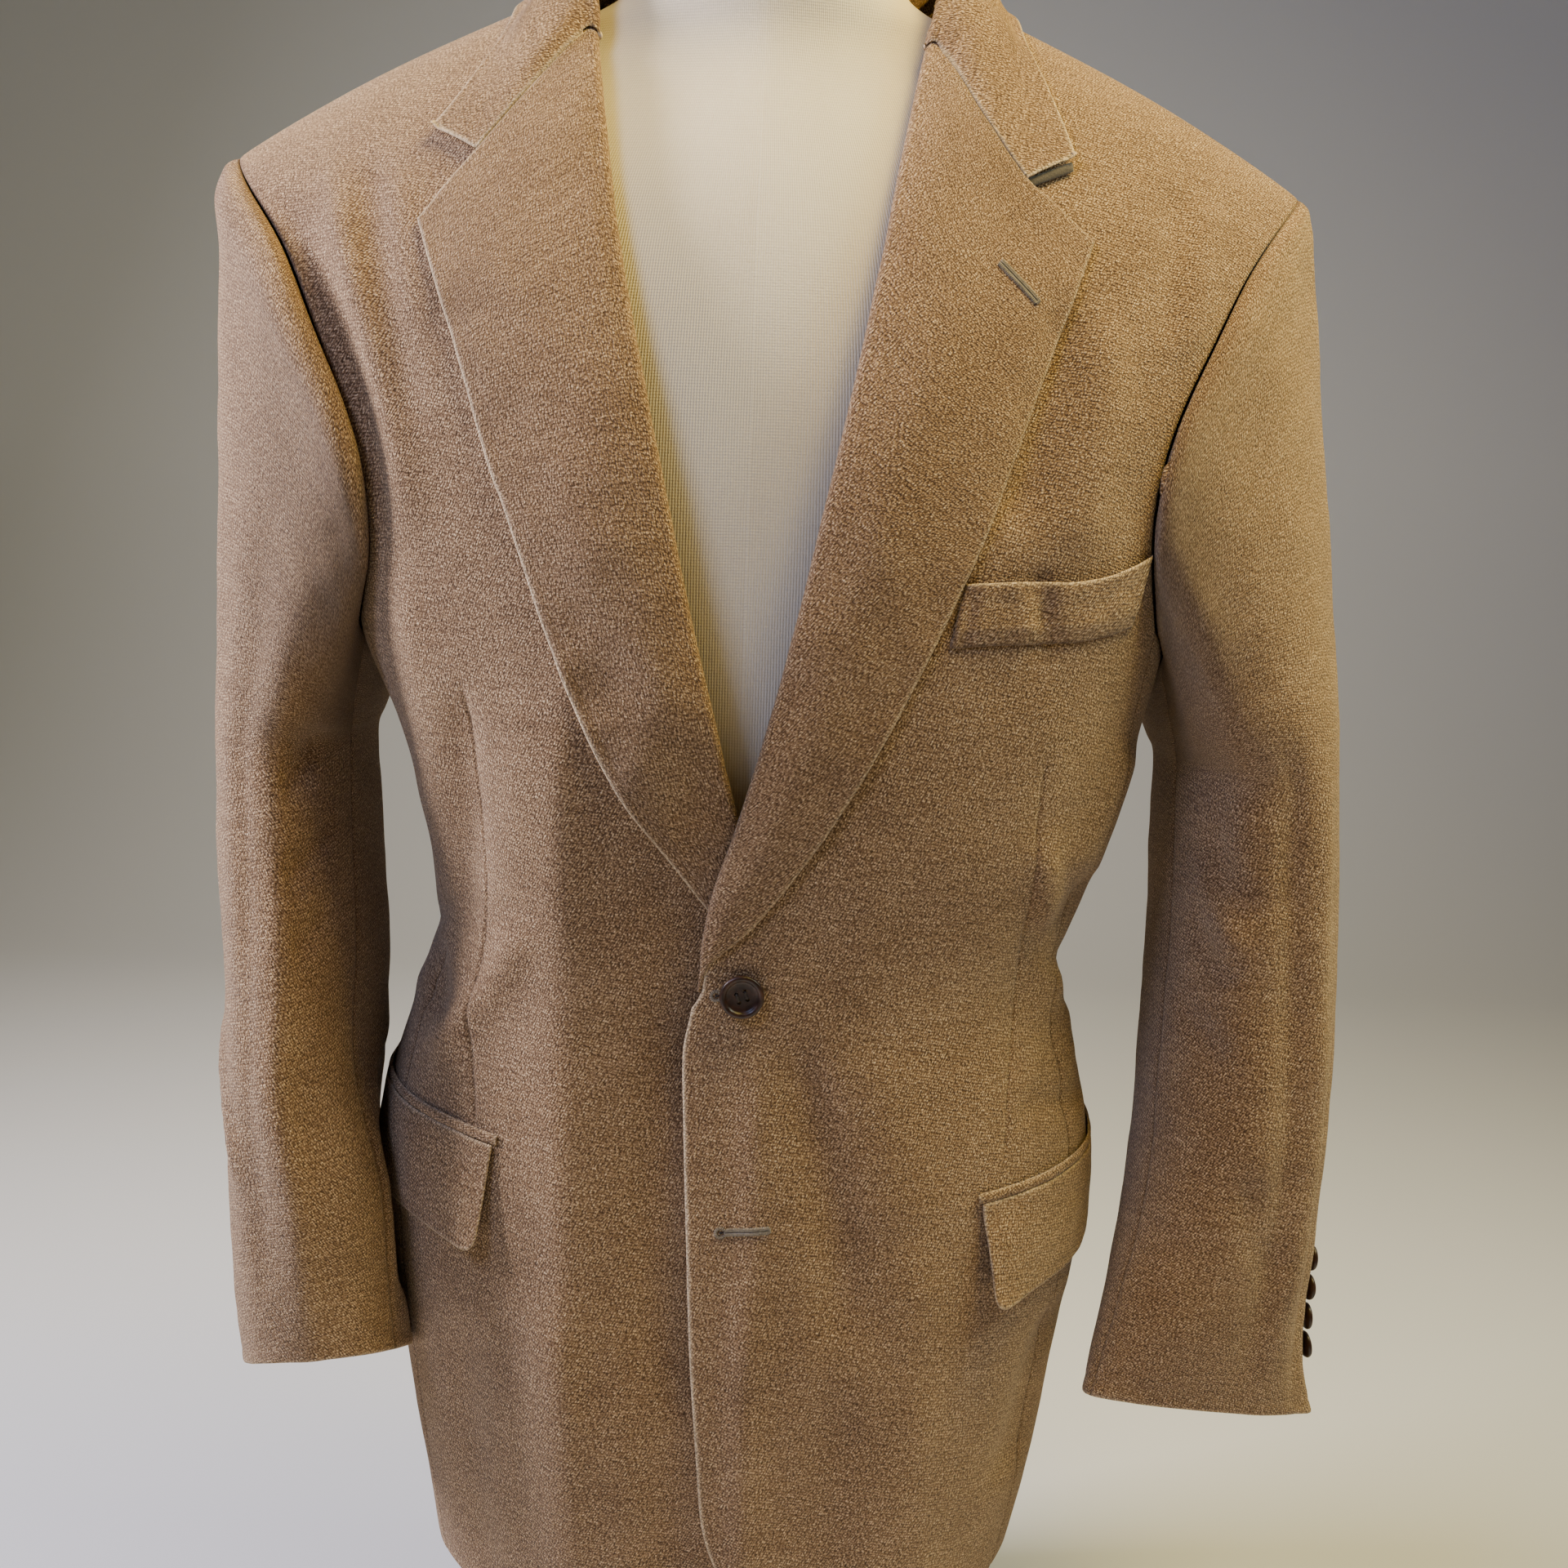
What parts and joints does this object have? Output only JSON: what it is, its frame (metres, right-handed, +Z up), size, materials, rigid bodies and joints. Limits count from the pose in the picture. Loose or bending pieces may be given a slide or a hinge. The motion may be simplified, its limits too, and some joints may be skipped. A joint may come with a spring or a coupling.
{
  "type": "tweed hacking jacket on a dress form",
  "caption": "Single-breasted notch-lapel tweed jacket with flap pockets and a breast welt, hanging buttoned on a limbless dress form with a round base.",
  "frame": {"origin": "centre of the stand's round base, on the floor under it", "axes": "+Z up, -Y out of the jacket's front (toward a viewer facing it), +X toward the wearer's left"},
  "size_m": [0.5769, 0.3, 1.005],
  "materials": {
    "tweed": "tan wool tweed, soft nap",
    "felt": "charcoal undercollar felt",
    "horn": "dark brown polished horn look",
    "jersey": "cream ribbed jersey cover",
    "stand_metal": "satin steel"
  },
  "bodies": {
    "root": {"back_left": "tweed", "back_right": "tweed", "breast_welt": "tweed", "collar": "tweed", "cuff_button_left_1": "horn", "cuff_button_left_2": "horn", "cuff_button_left_3": "horn", "cuff_button_left_4": "horn", "cuff_button_right_1": "horn", "cuff_button_right_2": "horn", "cuff_button_right_3": "horn", "cuff_button_right_4": "horn", "flap_left": "tweed", "flap_right": "tweed", "form_base": "stand_metal", "form_stem": "stand_metal", "form_torso": "jersey", "front_button": "horn", "front_button_lower": "horn", "front_left": "tweed", "front_right": "tweed", "jet_left": "tweed", "jet_right": "tweed", "lapel_left": "tweed", "lapel_right": "tweed", "side_left": "tweed", "side_right": "tweed", "under_sleeve_left": "tweed", "under_sleeve_right": "tweed", "undercollar_felt": "felt", "upper_sleeve_left": "tweed", "upper_sleeve_right": "tweed"}
  },
  "joints": []
}
